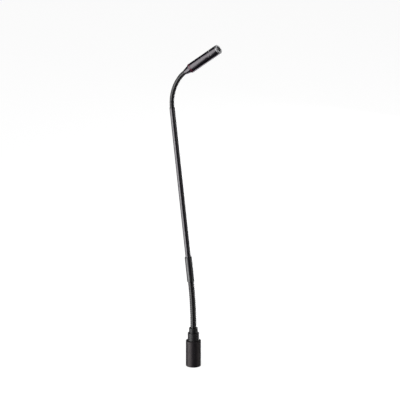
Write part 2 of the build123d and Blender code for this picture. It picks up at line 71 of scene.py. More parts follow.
# ---- Centre line, from the plug's rim upward: (length, turn towards +X in degrees) ----
PLUG_RUN = (50.2, 0.0)
LOWER_BEND = (60.7, -6.25)
STEM_RUN = (229.5, 0.0)
EASY_BEND = (45.0, 42.0)
TIGHT_BEND = (9.0, 15.5)
HEAD_RUN = (57.1, 0.0)
RUNS = (PLUG_RUN, LOWER_BEND, STEM_RUN, EASY_BEND, TIGHT_BEND, HEAD_RUN)

LOWER_START = PLUG_RUN[0]
STEM_START = LOWER_START + LOWER_BEND[0]
UPPER_START = STEM_START + STEM_RUN[0]
HEAD_START = UPPER_START + EASY_BEND[0] + TIGHT_BEND[0]

SIDES = 96  # sides of a turned piece
FINE_SIDES = 144  # sides of a turned piece that is cut, or whose rim shows large

# Edges sharper than these, in degrees, stay crisp in the shading.
TURNED_SHARP, CUT_SHARP, WOUND_SHARP, GAUZE_SHARP = 35.0, 30.0, 50.0, 60.0


def spot(distance):
    """Point, tangent and in-plane normal of the centre line at a distance from the rim."""
    x = z = heading = 0.0
    for length, turn in RUNS:
        last = (length, turn) == RUNS[-1]
        step = distance if last else min(distance, length)
        angle = math.radians(turn) * step / length
        if turn:
            radius = step / angle if step else 0.0
            x += radius * (math.cos(heading) - math.cos(heading + angle))
            z += radius * (math.sin(heading + angle) - math.sin(heading))
        else:
            x += step * math.sin(heading)
            z += step * math.cos(heading)
        heading += angle
        distance -= step
        if distance <= 0:
            break
    tangent = Vector((math.sin(heading), 0, math.cos(heading)))
    normal = Vector((math.cos(heading), 0, -math.sin(heading)))
    return Vector((x, 0, z)) * MM, tangent, normal


# ---- Mesh helpers ----
def mesh_object(name, verts, faces, material, sharp=TURNED_SHARP):
    """A smooth-shaded piece in the scene, with its faces turned outward."""
    mesh = bpy.data.meshes.new(name)
    mesh.from_pydata([tuple(v) for v in verts], [], faces)
    work = bmesh.new()
    work.from_mesh(mesh)
    bmesh.ops.recalc_face_normals(work, faces=work.faces)
    work.to_mesh(mesh)
    work.free()
    mesh.shade_smooth()
    mesh.set_sharp_from_angle(angle=math.radians(sharp))
    mesh.materials.append(material)
    piece = bpy.data.objects.new(name, mesh)
    bpy.context.scene.collection.objects.link(piece)
    return piece


def soften(corners, steps=5):
    """Round the corners of a profile given as (distance, radius, size of the rounding)."""
    share = 0.48  # the most of a side that one rounding may take
    points = []
    for index, (s, r, size) in enumerate(corners):
        here = Vector((s, r))
        before = Vector(corners[index - 1][:2])
        after = Vector(corners[(index + 1) % len(corners)][:2])
        if not size:
            points.append((s, r))
            continue
        start = here + (before - here).normalized() * min(size, (before - here).length * share)
        end = here + (after - here).normalized() * min(size, (after - here).length * share)
        for step in range(steps + 1):
            t = step / steps
            point = start * (1 - t) ** 2 + here * 2 * t * (1 - t) + end * t ** 2
            points.append(tuple(point))
    return points


def turned(name, start, corners, material, sides=SIDES):
    """A closed piece turned about the centre line, from its profile's corners."""
    profile = soften(corners)
    verts, faces = [], []
    for s, r in profile:
        origin, _, normal = spot(start + s)
        for k in range(sides):
            angle = math.tau * k / sides
            across = normal * math.cos(angle) + Vector((0, math.sin(angle), 0))
            verts.append(origin + across * r * MM)
    count = len(profile)
    for i in range(count):
        j = (i + 1) % count
        for k in range(sides):
            m = (k + 1) % sides
            faces.append((i * sides + k, i * sides + m, j * sides + m, j * sides + k))
    piece = mesh_object(name, verts, faces, material)
    lay_turned_uv(piece, profile, sides)
    return piece


def lay_turned_uv(piece, profile, sides):
    """UV in millimetres: u round the piece at its largest radius, v along the profile."""
    layer = piece.data.uv_layers.new(name="turned")
    travel = [0.0]
    for a, b in zip(profile, profile[1:]):
        travel.append(travel[-1] + math.dist(a, b))
    around = math.tau * max(r for _, r in profile)
    for polygon in piece.data.polygons:
        columns = [piece.data.loops[i].vertex_index % sides for i in polygon.loop_indices]
        wraps = max(columns) - min(columns) > 1
        for i, column in zip(polygon.loop_indices, columns):
            row = piece.data.loops[i].vertex_index // sides
            turn = column + sides if wraps and column == 0 else column
            layer.data[i].uv = (around * turn / sides, travel[row])


def rope_of_rings(rings):
    """Vertices and faces of a tube through rings of points, capped at both ends."""
    size = len(rings[0])
    verts = [point for ring in rings for point in ring]
    faces = []
    for i in range(len(rings) - 1):
        for k in range(size):
            m = (k + 1) % size
            faces.append((i * size + k, i * size + m, (i + 1) * size + m, (i + 1) * size + k))
    faces.append(tuple(range(size)))
    faces.append(tuple(len(verts) - size + k for k in reversed(range(size))))
    return verts, faces


def joined(parts):
    """One vertex and face list from several."""
    verts, faces = [], []
    for some_verts, some_faces in parts:
        shift = len(verts)
        verts += some_verts
        faces += [tuple(i + shift for i in face) for face in some_faces]
    return verts, faces


def cut(piece, shapes):
    """Take closed shapes, each given as vertices and faces, out of the piece."""
    cutter = mesh_object("cutter", *joined(shapes), piece.data.materials[0])
    modifier = piece.modifiers.new("cut", "BOOLEAN")
    modifier.operation = "DIFFERENCE"
    modifier.solver = "EXACT"
    modifier.object = cutter
    bpy.context.view_layer.update()
    graph = bpy.context.evaluated_depsgraph_get()
    mesh = bpy.data.meshes.new_from_object(piece.evaluated_get(graph))
    piece.modifiers.clear()
    piece.data = mesh
    mesh.shade_smooth()
    mesh.set_sharp_from_angle(angle=math.radians(CUT_SHARP))
    bpy.data.objects.remove(cutter)


# ---- Materials: sizes of grain, cloud and relief are in millimetres ----
RUN_SPACING = 1.6  # copper runs on the boards
PIT_SPACING = 0.28  # pits in the foam


class Finish:
    """A procedural material: a principled shader fed by noise in the piece's own space."""

    def __init__(self, name, color, roughness, metallic=0.0, sockets=None):
        self.material = bpy.data.materials.new(name)
        self.material.use_nodes = True
        self.nodes = self.material.node_tree.nodes
        self.links = self.material.node_tree.links
        self.shader = self.nodes["Principled BSDF"]
        self.color, self.roughness = color, roughness
        self.shader.inputs["Base Color"].default_value = (*color, 1)
        self.shader.inputs["Roughness"].default_value = roughness
        self.shader.inputs["Metallic"].default_value = metallic
        for socket, value in (sockets or {}).items():
            self.shader.inputs[socket].default_value = value
        self.place = self.nodes.new("ShaderNodeTexCoord")
        self.height = None

    def stretch(self, scale, output):
        mapping = self.nodes.new("ShaderNodeMapping")
        mapping.inputs["Scale"].default_value = scale
        self.links.new(self.place.outputs[output], mapping.inputs["Vector"])
        return mapping.outputs["Vector"]

    def cloud(self, grain_mm, detail=3.0, vector=None):
        texture = self.nodes.new("ShaderNodeTexNoise")
        texture.inputs["Scale"].default_value = 1 / (grain_mm * MM)
        texture.inputs["Detail"].default_value = detail
        self.links.new(vector or self.place.outputs["Object"], texture.inputs["Vector"])
        return texture.outputs["Fac"]

    def spread(self, source, low, high, to_low, to_high):
        mapper = self.nodes.new("ShaderNodeMapRange")
        limits = {"From Min": low, "From Max": high, "To Min": to_low, "To Max": to_high}
        for key, value in limits.items():
            mapper.inputs[key].default_value = value
        self.links.new(source, mapper.inputs["Value"])
        return mapper.outputs["Result"]

    def tint(self, factor, other):
        """Mix another colour over the colour so far."""
        mix = self.nodes.new("ShaderNodeMix")
        mix.data_type = "RGBA"
        before = self.shader.inputs["Base Color"]
        if before.is_linked:
            self.links.new(before.links[0].from_socket, mix.inputs["A"])
        else:
            mix.inputs["A"].default_value = (*self.color, 1)
        mix.inputs["B"].default_value = (*other, 1)
        self.links.new(factor, mix.inputs["Factor"])
        self.links.new(mix.outputs["Result"], before)
        return self

    def gloss(self, source, amount):
        """Vary the roughness by up to the amount each way."""
        low, high = self.roughness - amount, self.roughness + amount
        varied = self.spread(source, 0.3, 0.7, max(low, 0.05), min(high, 1.0))
        self.links.new(varied, self.shader.inputs["Roughness"])
        return self

    def relief(self, source, depth_mm, strength=1.0):
        bump = self.nodes.new("ShaderNodeBump")
        bump.inputs["Distance"].default_value = depth_mm * MM
        bump.inputs["Strength"].default_value = strength
        self.links.new(source, bump.inputs["Height"])
        if self.height:
            self.links.new(self.height, bump.inputs["Normal"])
        self.height = bump.outputs["Normal"]
        self.links.new(self.height, self.shader.inputs["Normal"])
        return self

    def worn_edges(self, other, amount=0.6):
        geometry = self.nodes.new("ShaderNodeNewGeometry")
        edge = self.spread(geometry.outputs["Pointiness"], 0.53, 0.6, 0.0, amount)
        broken = self.nodes.new("ShaderNodeMath")
        broken.operation = "MULTIPLY"
        self.links.new(edge, broken.inputs[0])
        self.links.new(self.spread(self.cloud(0.8, 4.0), 0.4, 0.6, 0.2, 1.0), broken.inputs[1])
        return self.tint(broken.outputs["Value"], other)


def painted(name, color, roughness, specular, grain=0.22, depth=0.012, glint=(1, 1, 1), ior=1.5):
    """Baked satin paint on metal: orange peel, cloudy gloss and lighter worn edges.

    grain and depth are the orange peel's, in millimetres, and glint tints what it mirrors."""
    look = Finish(name, color, roughness, sockets={"Specular IOR Level": specular, "IOR": ior})
    look.shader.inputs["Specular Tint"].default_value = (*glint, 1)
    look.tint(look.spread(look.cloud(6.0), 0.35, 0.7, 0.0, 0.5), tuple(c * 1.5 for c in color))
    look.gloss(look.cloud(3.0, 5.0), 0.05)
    look.relief(look.cloud(grain, 2.0), depth)
    return look.worn_edges((0.05, 0.05, 0.052)).material


def wire_finish(name, color, roughness):
    """Black wound wire: fine drawing lines along it, rubbed a little on its crests."""
    look = Finish(name, color, roughness, sockets={"Specular IOR Level": 1.0})
    look.gloss(look.cloud(1.2, 5.0), 0.08)
    look.relief(look.cloud(0.12, 3.0), 0.008)
    look.tint(look.spread(look.cloud(2.5, 4.0), 0.5, 0.8, 0.0, 0.5), (0.012, 0.011, 0.014))
    return look.worn_edges((0.04, 0.04, 0.042), 0.3).material


def rubber(name, color, roughness=0.62, specular=0.4):
    """Matt rubber: a dusty bloom in patches over a fine grain."""
    look = Finish(name, color, roughness, sockets={"Specular IOR Level": specular})
    look.tint(look.spread(look.cloud(2.0, 5.0), 0.45, 0.75, 0.0, 0.6), tuple(c * 2.2 for c in color))
    look.gloss(look.cloud(0.7, 4.0), 0.1)
    return look.relief(look.cloud(0.15, 4.0), 0.02).material


def bare_metal(name, color, roughness):
    """Turned metal: a relief of marks too fine to see one by one, and cloudy gloss."""
    look = Finish(name, color, roughness, metallic=1.0)
    along, across = 0.02, 12.5  # the marks run round the axis
    marks = look.cloud(1.0, 3.0, look.stretch((along, across, 1.0), "UV"))
    look.relief(marks, 0.006, 0.6)
    look.gloss(look.cloud(1.5, 4.0), 0.06)
    look.tint(look.spread(look.cloud(4.0), 0.4, 0.7, 0.0, 0.35), tuple(c * 0.8 for c in color))
    return look.material


def node_metal(name, color, roughness):
    """Plated or drawn metal on a piece that keeps its CAD mesh."""
    look = Finish(name, color, roughness, metallic=1.0)
    look.gloss(look.cloud(0.8, 4.0), 0.08)
    look.relief(look.cloud(0.2, 3.0), 0.006)
    look.tint(look.spread(look.cloud(1.5, 4.0), 0.4, 0.75, 0.0, 0.4), tuple(c * 0.7 for c in color))
    return look.material


def moulded(name, color, roughness, sockets=None):
    """Moulded plastic: a fine spark-eroded grain and cloudy colour."""
    look = Finish(name, color, roughness, sockets=sockets)
    look.tint(look.spread(look.cloud(1.8, 4.0), 0.4, 0.7, 0.0, 0.5), tuple(c * 0.75 for c in color))
    look.gloss(look.cloud(0.9, 3.0), 0.06)
    return look.relief(look.cloud(0.12, 2.0), 0.012).material


def laminate(name, color):
    """Solder mask with paler copper runs just under it."""
    look = Finish(name, color, 0.3, sockets={"Coat Weight": 0.4, "Coat Roughness": 0.15})
    cells = look.nodes.new("ShaderNodeTexVoronoi")
    cells.feature = "DISTANCE_TO_EDGE"
    cells.distance = "MANHATTAN"
    cells.inputs["Scale"].default_value = 1 / (RUN_SPACING * MM)
    look.links.new(look.place.outputs["Object"], cells.inputs["Vector"])
    runs = look.spread(cells.outputs["Distance"], 0.04, 0.06, 1.0, 0.0)
    look.tint(runs, tuple(min(1.0, c * 1.9 + 0.02) for c in color))
    return look.relief(runs, 0.03).material


def lens(name, color):
    """Deep red translucent plastic, with light scattering inside it."""
    sockets = {
        "Transmission Weight": 0.35,
        "IOR": 1.49,
        "Subsurface Weight": 0.4,
        "Coat Weight": 0.6,
        "Coat Roughness": 0.12,
    }
    look = Finish(name, color, 0.28, sockets=sockets)
    look.shader.inputs["Subsurface Radius"].default_value = (0.003, 0.0006, 0.0008)
    look.tint(look.spread(look.cloud(1.2, 3.0), 0.35, 0.7, 0.0, 0.5), tuple(c * 0.45 for c in color))
    look.gloss(look.cloud(0.8, 3.0), 0.05)
    return look.relief(look.cloud(0.3, 2.0), 0.01).material


def foam(name, color):
    """Open-cell foam: small pits, pressed in by the relief and painted darker as painted shade."""
    look = Finish(name, color, 0.95, sockets={"Sheen Weight": 0.15})
    cells = look.nodes.new("ShaderNodeTexVoronoi")
    cells.inputs["Scale"].default_value = 1 / (PIT_SPACING * MM)
    look.links.new(look.place.outputs["Object"], cells.inputs["Vector"])
    # Painted shade: each pit is tinted darker towards its middle, as if shade fell in it.
    look.tint(look.spread(cells.outputs["Distance"], 0.1, 0.6, 0.8, 0.0), (0.004, 0.004, 0.004))
    return look.relief(cells.outputs["Distance"], 0.12).material


MATERIALS = {
    "plug_paint": painted(
        "plug_paint", (0.0112, 0.0098, 0.0128), 0.5, specular=0.55, glint=(1, 0.89, 0.88)
    ),
    "collar_paint": painted("collar_paint", (0.008, 0.008, 0.0085), 0.45, specular=0.55),
    "collar_rubber": rubber("collar_rubber", (0.0115, 0.0102, 0.012), 0.5, 0.7),
    "neck_wire": wire_finish("neck_wire", (0.004, 0.0034, 0.0052), 0.28),
    "stem_paint": painted(
        "stem_paint",
        (0.004, 0.0036, 0.007),
        0.3,
        specular=1.0,
        grain=0.35,
        depth=0.006,
        glint=(1, 0.96, 1),
        ior=1.65,
    ),
    "sleeve_paint": painted("sleeve_paint", (0.005, 0.0048, 0.007), 0.34, specular=0.95, ior=1.6),
    "head_paint": painted(
        "head_paint",
        (0.005, 0.0038, 0.0075),
        0.25,
        specular=1.0,
        grain=0.2,
        depth=0.006,
        glint=(1, 0.94, 1),
    ),
    "ring_metal": bare_metal("ring_metal", (0.42, 0.42, 0.43), 0.55),
    "grille_wire": node_metal("grille_wire", (0.45, 0.45, 0.46), 0.4),
    "port_wire": moulded("port_wire", (0.86, 0.86, 0.85), 0.5),
    "indicator_lens": lens("indicator_lens", (0.14, 0.012, 0.05)),
    "lamp_epoxy": moulded("lamp_epoxy", (0.6, 0.06, 0.06), 0.15, sockets={"Transmission Weight": 0.3}),
    "insert_plastic": moulded("insert_plastic", (0.03, 0.03, 0.033), 0.5),
    "carrier_plastic": moulded("carrier_plastic", (0.75, 0.74, 0.7), 0.45),
    "contact_plate": node_metal("contact_plate", (0.83, 0.62, 0.28), 0.25),
    "screw_steel": node_metal("screw_steel", (0.28, 0.28, 0.29), 0.35),
    "nut_brass": node_metal("nut_brass", (0.7, 0.55, 0.3), 0.35),
    "board_laminate": laminate("board_laminate", (0.02, 0.16, 0.06)),
    "component_case": moulded("component_case", (0.09, 0.08, 0.07), 0.45),
    "cable_jacket": rubber("cable_jacket", (0.03, 0.03, 0.032)),
    "lead_copper": node_metal("lead_copper", (0.85, 0.5, 0.32), 0.3),
    "capsule_rubber": rubber("capsule_rubber", (0.04, 0.04, 0.04)),
    "capsule_metal": node_metal("capsule_metal", (0.7, 0.7, 0.72), 0.3),
    "diaphragm_film": node_metal("diaphragm_film", (0.85, 0.65, 0.3), 0.2),
    "windscreen_foam": foam("windscreen_foam", (0.03, 0.03, 0.03)),
}


def finish_nodes():
    """Every CAD node takes its slot's procedural material, whether it shows or is replaced."""
    for entry in frame["record"]["subparts"]:
        node = frame["nodes"][entry["node"]]
        node.data.materials.clear()
        node.data.materials.append(MATERIALS[entry["material_slot"]])


def stand_in(piece, body, slot, *nodes):
    """The piece moves with a body and stands for CAD nodes, which it hides. The slot it is given is not
    used.
    """
    if nodes:
        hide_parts(*nodes)
    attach(piece, body)


# ---- Plug base ----
SHELL_HEIGHT, SHELL_RADIUS, SHELL_BORE = 33.4, 9.5, 8.05
SHELL_ROOF, ROOF_BORE = 2.0, 4.5
WINDOW_HEIGHT, WINDOW_SIZE = 7.0, (3.6, 4.6)
SCREW_HEIGHT, SCREW_RADIUS, SCREW_ANGLE = 18.3, 1.05, -62.0
WINDOW_CUT_REACH, SCREW_CUT_LENGTH = 4.0, 4.0  # both well past the wall's thickness
ISOLATOR_HEIGHT, ISOLATOR_RADIUS, ISOLATOR_BORE = 10.1, 7.1, 4.95
ISOLATOR_SEAT_HEIGHT, ISOLATOR_SEAT_RADIUS = 1.35, 6.05
GROOVE_COUNT, GROOVE_START, GROOVE_SPACING = 3, 2.2, 2.4
GROOVE_WIDTH, GROOVE_DEPTH, GROOVE_FLANK = 0.7, 0.35, 0.08
RELIEF_RADIUS, RELIEF_BORE = 5.5, 3.95


def bar(centre, direction, length, radius, sides=48):
    """A plain round cutter about a direction square to Z."""
    side = Vector((-direction.y, direction.x, 0))
    rings = []
    for end in (-0.5, 0.5):
        base = centre + direction * length * end
        angles = [math.tau * k / sides for k in range(sides)]
        rings.append([base + (side * math.cos(a) + Vector((0, 0, math.sin(a)))) * radius for a in angles])
    return rope_of_rings(rings)


def make_plug_shell():
    """The connector shell, with its latch window and the hole of its retaining screw."""
    top = SHELL_HEIGHT
    corners = [
        (0, SHELL_BORE, 0.25),
        (0, SHELL_RADIUS - 0.4, 0.15),
        (0.4, SHELL_RADIUS, 0.15),
        (top - 0.7, SHELL_RADIUS, 0.1),
        (top, SHELL_RADIUS - 0.05, 0.7),
        (top, ROOF_BORE, 0.1),
        (top - SHELL_ROOF, ROOF_BORE, 0.1),
        (top - SHELL_ROOF, SHELL_BORE, 0.3),
    ]
    shell = turned("plug_shell", 0.0, corners, MATERIALS["plug_paint"], sides=FINE_SIDES)
    half_width, half_height = WINDOW_SIZE[0] / 2 * MM, WINDOW_SIZE[1] / 2 * MM
    window_centre = Vector((0, SHELL_RADIUS * MM, WINDOW_HEIGHT * MM))
    window = rounded_block(window_centre, half_width, WINDOW_CUT_REACH * MM, half_height)
    angle = math.radians(SCREW_ANGLE)
    outward = Vector((math.cos(angle), math.sin(angle), 0))
    centre = outward * SHELL_RADIUS * MM + Vector((0, 0, SCREW_HEIGHT * MM))
    hole = bar(centre, outward, SCREW_CUT_LENGTH * MM, SCREW_RADIUS * MM)
    cut(shell, [window, hole])
    stand_in(shell, "base", "plug_paint", "connector_shell")


def rounded_block(centre, half_x, half_y, half_z, rounding=0.6 * MM):
    """A block along Y whose corners are rounded in XZ."""
    outline = []
    for quarter in range(4):
        sign_x, sign_z = ((1, 1), (-1, 1), (-1, -1), (1, -1))[quarter]
        corner = Vector((sign_x * (half_x - rounding), 0, sign_z * (half_z - rounding)))
        for step in range(7):
            angle = math.radians(90 * quarter + 15 * step)
            outline.append(corner + Vector((math.cos(angle), 0, math.sin(angle))) * rounding)
    rings = [[centre + point + Vector((0, y, 0)) for point in outline] for y in (-half_y, half_y)]
    return rope_of_rings(rings)


def make_collars():
    """The rubber isolator with its grooves, and the relief collar on top of it."""
    corners = [(0, ISOLATOR_SEAT_RADIUS, 0.1), (0, ISOLATOR_RADIUS, 0.25)]
    for groove in range(GROOVE_COUNT):
        low = GROOVE_START + GROOVE_SPACING * groove
        corners += [
            (low, ISOLATOR_RADIUS, 0.18),
            (low + GROOVE_FLANK, ISOLATOR_RADIUS - GROOVE_DEPTH, 0.12),
            (low + GROOVE_WIDTH - GROOVE_FLANK, ISOLATOR_RADIUS - GROOVE_DEPTH, 0.12),
            (low + GROOVE_WIDTH, ISOLATOR_RADIUS, 0.18),
        ]
    corners += [
        (ISOLATOR_HEIGHT, ISOLATOR_RADIUS, 0.6),
        (ISOLATOR_HEIGHT, ISOLATOR_BORE, 0.1),
        (ISOLATOR_SEAT_HEIGHT, ISOLATOR_BORE, 0.0),
        (ISOLATOR_SEAT_HEIGHT, ISOLATOR_SEAT_RADIUS, 0.0),
    ]
    isolator = turned("isolator", SHELL_HEIGHT, corners, MATERIALS["collar_rubber"])
    stand_in(isolator, "base", "collar_rubber", "isolator_collar")

    start = SHELL_HEIGHT + ISOLATOR_HEIGHT
    tall = LOWER_START - start
    corners = [
        (0, RELIEF_BORE, 0.1),
        (0, RELIEF_RADIUS, 0.2),
        (tall, RELIEF_RADIUS, 0.9),
        (tall, RELIEF_BORE, 0.25),
    ]
    relief = turned("relief", start, corners, MATERIALS["collar_paint"])
    stand_in(relief, "base", "collar_paint", "relief_collar")


# ---- Goosenecks: a round wire and a flat wire wound side by side, and the cable inside ----
class Hose:
    """Sections of one gooseneck's two wires, as (offset along the neck, radius) in millimetres.

    The flat wire lies flat_drop below the round one's crest. flat_widths are half its width at
    its shoulder and at its foot, and flat_depth is how thick it is."""

    CROWN, SHOULDER, EDGE = 0.03, 0.01, 0.14  # its top's rise, and its drops on the way out
    CROWN_SHARE = 0.7  # of its half width, where the top starts to drop
    ROUND_SIDES = 12

    def __init__(self, radius, pitch, round_radius, flat_drop, flat_widths, flat_depth):
        self.pitch = pitch
        centre = radius - round_radius
        circle = [math.tau * k / self.ROUND_SIDES for k in range(self.ROUND_SIDES)]
        self.round_section = [
            (round_radius * math.sin(a), centre + round_radius * math.cos(a)) for a in circle
        ]
        outer, inner = flat_widths
        top = radius - flat_drop
        self.flat_section = [
            (pitch / 2 + offset, level)
            for offset, level in (
                (-outer * self.CROWN_SHARE, top - self.SHOULDER),
                (0.0, top + self.CROWN),
                (outer * self.CROWN_SHARE, top - self.SHOULDER),
                (outer, top - self.EDGE),
                (inner, top - flat_depth),
                (-inner, top - flat_depth),
                (-outer, top - self.EDGE),
            )
        ]


LOWER_HOSE = Hose(
    radius=3.9, pitch=2.6, round_radius=0.75, flat_drop=0.32, flat_widths=(0.8, 0.5), flat_depth=0.55
)
UPPER_HOSE = Hose(
    radius=3.04, pitch=2.0, round_radius=0.58, flat_drop=0.25, flat_widths=(0.6, 0.38), flat_depth=0.45
)
STEPS_PER_TURN = 32
CABLE_RADIUS = 1.4


def wound(hose, section, start, end):
    """Rings of one wire's section along its helix between two distances."""
    count = max(2, round((end - start) / hose.pitch * STEPS_PER_TURN))
    rings = []
    for index in range(count + 1):
        s = start + (end - start) * index / count
        origin, tangent, normal = spot(s)
        angle = math.tau * s / hose.pitch
        across = normal * math.cos(angle) + Vector((0, math.sin(angle), 0))
        rings.append([origin + (across * r + tangent * a) * MM for a, r in section])
    return rope_of_rings(rings)


def make_hose(name, hose, start, end):
    """A stretch of winding: both wires, from one distance to the other."""
    sections = (hose.round_section, hose.flat_section)
    wires = joined([wound(hose, section, start, end) for section in sections])
    return mesh_object(name, *wires, MATERIALS["neck_wire"], sharp=WOUND_SHARP)


def make_cable(name, start, end, step_mm=1.0, sides=20):
    """A stretch of the cable inside, from one distance to the other."""
    count = max(2, round((end - start) / step_mm))
    rings = []
    for index in range(count + 1):
        origin, _, normal = spot(start + (end - start) * index / count)
        angles = [math.tau * k / sides for k in range(sides)]
        spokes = [normal * math.cos(a) + Vector((0, math.sin(a), 0)) for a in angles]
        rings.append([origin + spoke * CABLE_RADIUS * MM for spoke in spokes])
    return mesh_object(name, *rope_of_rings(rings), MATERIALS["cable_jacket"], sharp=WOUND_SHARP)


def make_neck(label, hose, start, length, joints, bodies, root, tip):
    """A gooseneck as a held root, one stretch across each joint and a held tip.

    bodies runs from the body that holds the root to the one that holds the tip, and root and
    tip are the distances at which the winding starts and ends inside what grips it."""
    node = f"{label}_coil_"
    stand_in(make_hose(f"{label}_hose_root", hose, root, start), bodies[0], "neck_wire", node + "0")
    stand_in(make_cable(f"{label}_cable_root", root, start), bodies[0], "cable_jacket", f"{label}_cable")
    pitch = length / joints
    for index in range(joints):
        low, high = start + index * pitch, start + (index + 1) * pitch
        pieces = [
            (make_hose(f"{label}_hose_{index + 1}", hose, low, high), "neck_wire"),
            (make_cable(f"{label}_cable_{index + 1}", low, high), "cable_jacket"),
        ]
        if index < joints - 1:
            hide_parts(f"{node}{index + 1}")
        # With the first stretch given far to near, none is thrown in any of the pose files.
        near, far = (bodies[index], spot(low)[0]), (bodies[index + 1], spot(high)[0])
        (body_a, start_at), (body_b, end_at) = (far, near) if index == 0 else (near, far)
        for piece, slot in pieces:
            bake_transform(piece)
            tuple(start_at)
            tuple(end_at)
    end = start + length
    stand_in(make_hose(f"{label}_hose_tip", hose, end, tip), bodies[-1], "neck_wire", f"{node}{joints}")
    stand_in(make_cable(f"{label}_cable_tip", end, tip), bodies[-1], "cable_jacket")


def body_chain(first, last):
    """The bodies from first to last, following the joints."""
    child_of = {joint["parent"]: joint["child"] for joint in frame["joints"]}
    chain = [first]
    while chain[-1] != last:
        chain.append(child_of[chain[-1]])
    return chain


# ---- Sleeve and stem ----
SLEEVE_LENGTH, SLEEVE_RADIUS = 32.5, 4.6
SLEEVE_BORE, SLEEVE_CHAMFER = 3.9, 0.45
STEM_RADIUS, STEM_BORE = 3.45, 3.05
NECK_GRIP = 14.0  # how far each gooseneck reaches into the stem
TUBE_START = NECK_GRIP + 1.5  # the tube's lower end, from the sleeve's


def make_stem():
    """The sleeve over the lower neck's end, and the rigid tube that stands in it."""
    corners = [
        (0, SLEEVE_BORE, 0.15),
        (0, SLEEVE_RADIUS - SLEEVE_CHAMFER, 0.1),
        (SLEEVE_CHAMFER, SLEEVE_RADIUS, 0.3),
        (SLEEVE_LENGTH - SLEEVE_CHAMFER, SLEEVE_RADIUS, 0.3),
        (SLEEVE_LENGTH, SLEEVE_RADIUS - SLEEVE_CHAMFER, 0.1),
        (SLEEVE_LENGTH, STEM_RADIUS + 0.05, 0.15),
        (TUBE_START, STEM_RADIUS + 0.05, 0.0),
        (TUBE_START, STEM_BORE, 0.0),
        (NECK_GRIP, STEM_BORE, 0.0),
        (NECK_GRIP, SLEEVE_BORE, 0.0),
    ]
    sleeve = turned("sleeve", STEM_START, corners, MATERIALS["sleeve_paint"])
    stand_in(sleeve, "stem", "sleeve_paint", "stem_sleeve")
    start = STEM_START + TUBE_START
    tall = UPPER_START - start
    corners = [
        (0, STEM_BORE, 0.0),
        (0, STEM_RADIUS, 0.1),
        (tall - 0.5, STEM_RADIUS, 0.0),
        (tall, STEM_RADIUS - 0.02, 0.3),
        (tall, STEM_BORE, 0.12),
    ]
    tube = turned("stem", start, corners, MATERIALS["stem_paint"])
    stand_in(tube, "stem", "stem_paint", "stem_tube")


# ---- Head ----
HEAD_RADIUS = 6.15
CONE_LENGTH, CONE_TIP_RADIUS, CONE_END_RADIUS, FLANGE_END = 8.9, 3.3, 5.4, 9.4
NECK_SEAT, NECK_BORE, CABLE_BORE = 7.1, 3.05, 1.75
SPIGOT_END, SPIGOT_RADIUS, SPIGOT_BORE = 16.0, 5.1, 4.4
LENS_START, LENS_END = 9.45, 12.45
HOUSING_START, ELEMENT_START, RING_START, HEAD_END = 12.5, 41.0, 55.5, 57.1
PORT_POSITION, PORT_RADIUS, PORT_COUNT = 45.4, 1.0, 6
PORT_SEAT_RADIUS, PORT_SEAT_HALF, PORT_GAUZE_REACH = 5.5, 1.85, 5.72
PORT_GAUZE_SHARE = 0.98  # of the port's radius, so that the gauze clears the wall
HOUSING_BORE, HOUSING_GAP = 5.15, 0.04
ELEMENT_BORE, ELEMENT_SHELF = 5.0, 2.4
ELEMENT_SPIGOT_LENGTH, ELEMENT_SPIGOT_BORE = 3.4, 4.1
OPENING_RADIUS, RING_LIP = 3.7, 0.6
# The drill of a port, as (distance from the axis, share of the port's radius). It flares at the
# surface, which leaves a countersunk rim.
PORT_DRILL = ((4.4, 1.0), (5.85, 1.0), (6.1, 1.08), (6.4, 1.35), (7.0, 1.9))
GRILLE_POSITION, GRILLE_RADIUS = 0.78, 4.85  # the position is from the ring's start
FOAM_POSITION, FOAM_RADIUS, FOAM_THICKNESS = 0.45, 4.9, 1.0


def make_tail():
    """The tail cone with its flange and spigot, and the indicator ring beyond the flange."""
    corners = [
        (0, NECK_BORE, 0.1),
        (0, CONE_TIP_RADIUS, 0.12),
        (CONE_LENGTH, CONE_END_RADIUS, 0.25),
        (CONE_LENGTH, HEAD_RADIUS, 0.12),
        (FLANGE_END, HEAD_RADIUS, 0.1),
        (FLANGE_END, SPIGOT_RADIUS, 0.0),
        (SPIGOT_END, SPIGOT_RADIUS, 0.1),
        (SPIGOT_END, SPIGOT_BORE, 0.1),
        (CONE_LENGTH, SPIGOT_BORE, 0.0),
        (CONE_LENGTH, CABLE_BORE, 0.0),
        (NECK_SEAT, CABLE_BORE, 0.0),
        (NECK_SEAT, NECK_BORE, 0.0),
    ]
    cone = turned("tail", HEAD_START, corners, MATERIALS["head_paint"])
    stand_in(cone, "head", "head_paint", "tail_cone")
    length = LENS_END - LENS_START
    corners = [
        (0, HOUSING_BORE, 0.05),
        (0, HEAD_RADIUS - 0.03, 0.2),
        (length, HEAD_RADIUS - 0.03, 0.2),
        (length, HOUSING_BORE, 0.05),
    ]
    ring = turned("indicator", HEAD_START + LENS_START, corners, MATERIALS["indicator_lens"])
    stand_in(ring, "head", "indicator_lens", "indicator_ring")


def make_housing():
    """The plain tube of the housing, between the indicator ring and its ported front."""
    length = ELEMENT_START - HOUSING_START - HOUSING_GAP
    corners = [
        (0, HOUSING_BORE, 0.05),
        (0, HEAD_RADIUS, 0.15),
        (length, HEAD_RADIUS, 0.12),
        (length, HOUSING_BORE, 0.05),
    ]
    housing = turned("housing", HEAD_START + HOUSING_START, corners, MATERIALS["head_paint"])
    stand_in(housing, "head", "head_paint", "head_housing")


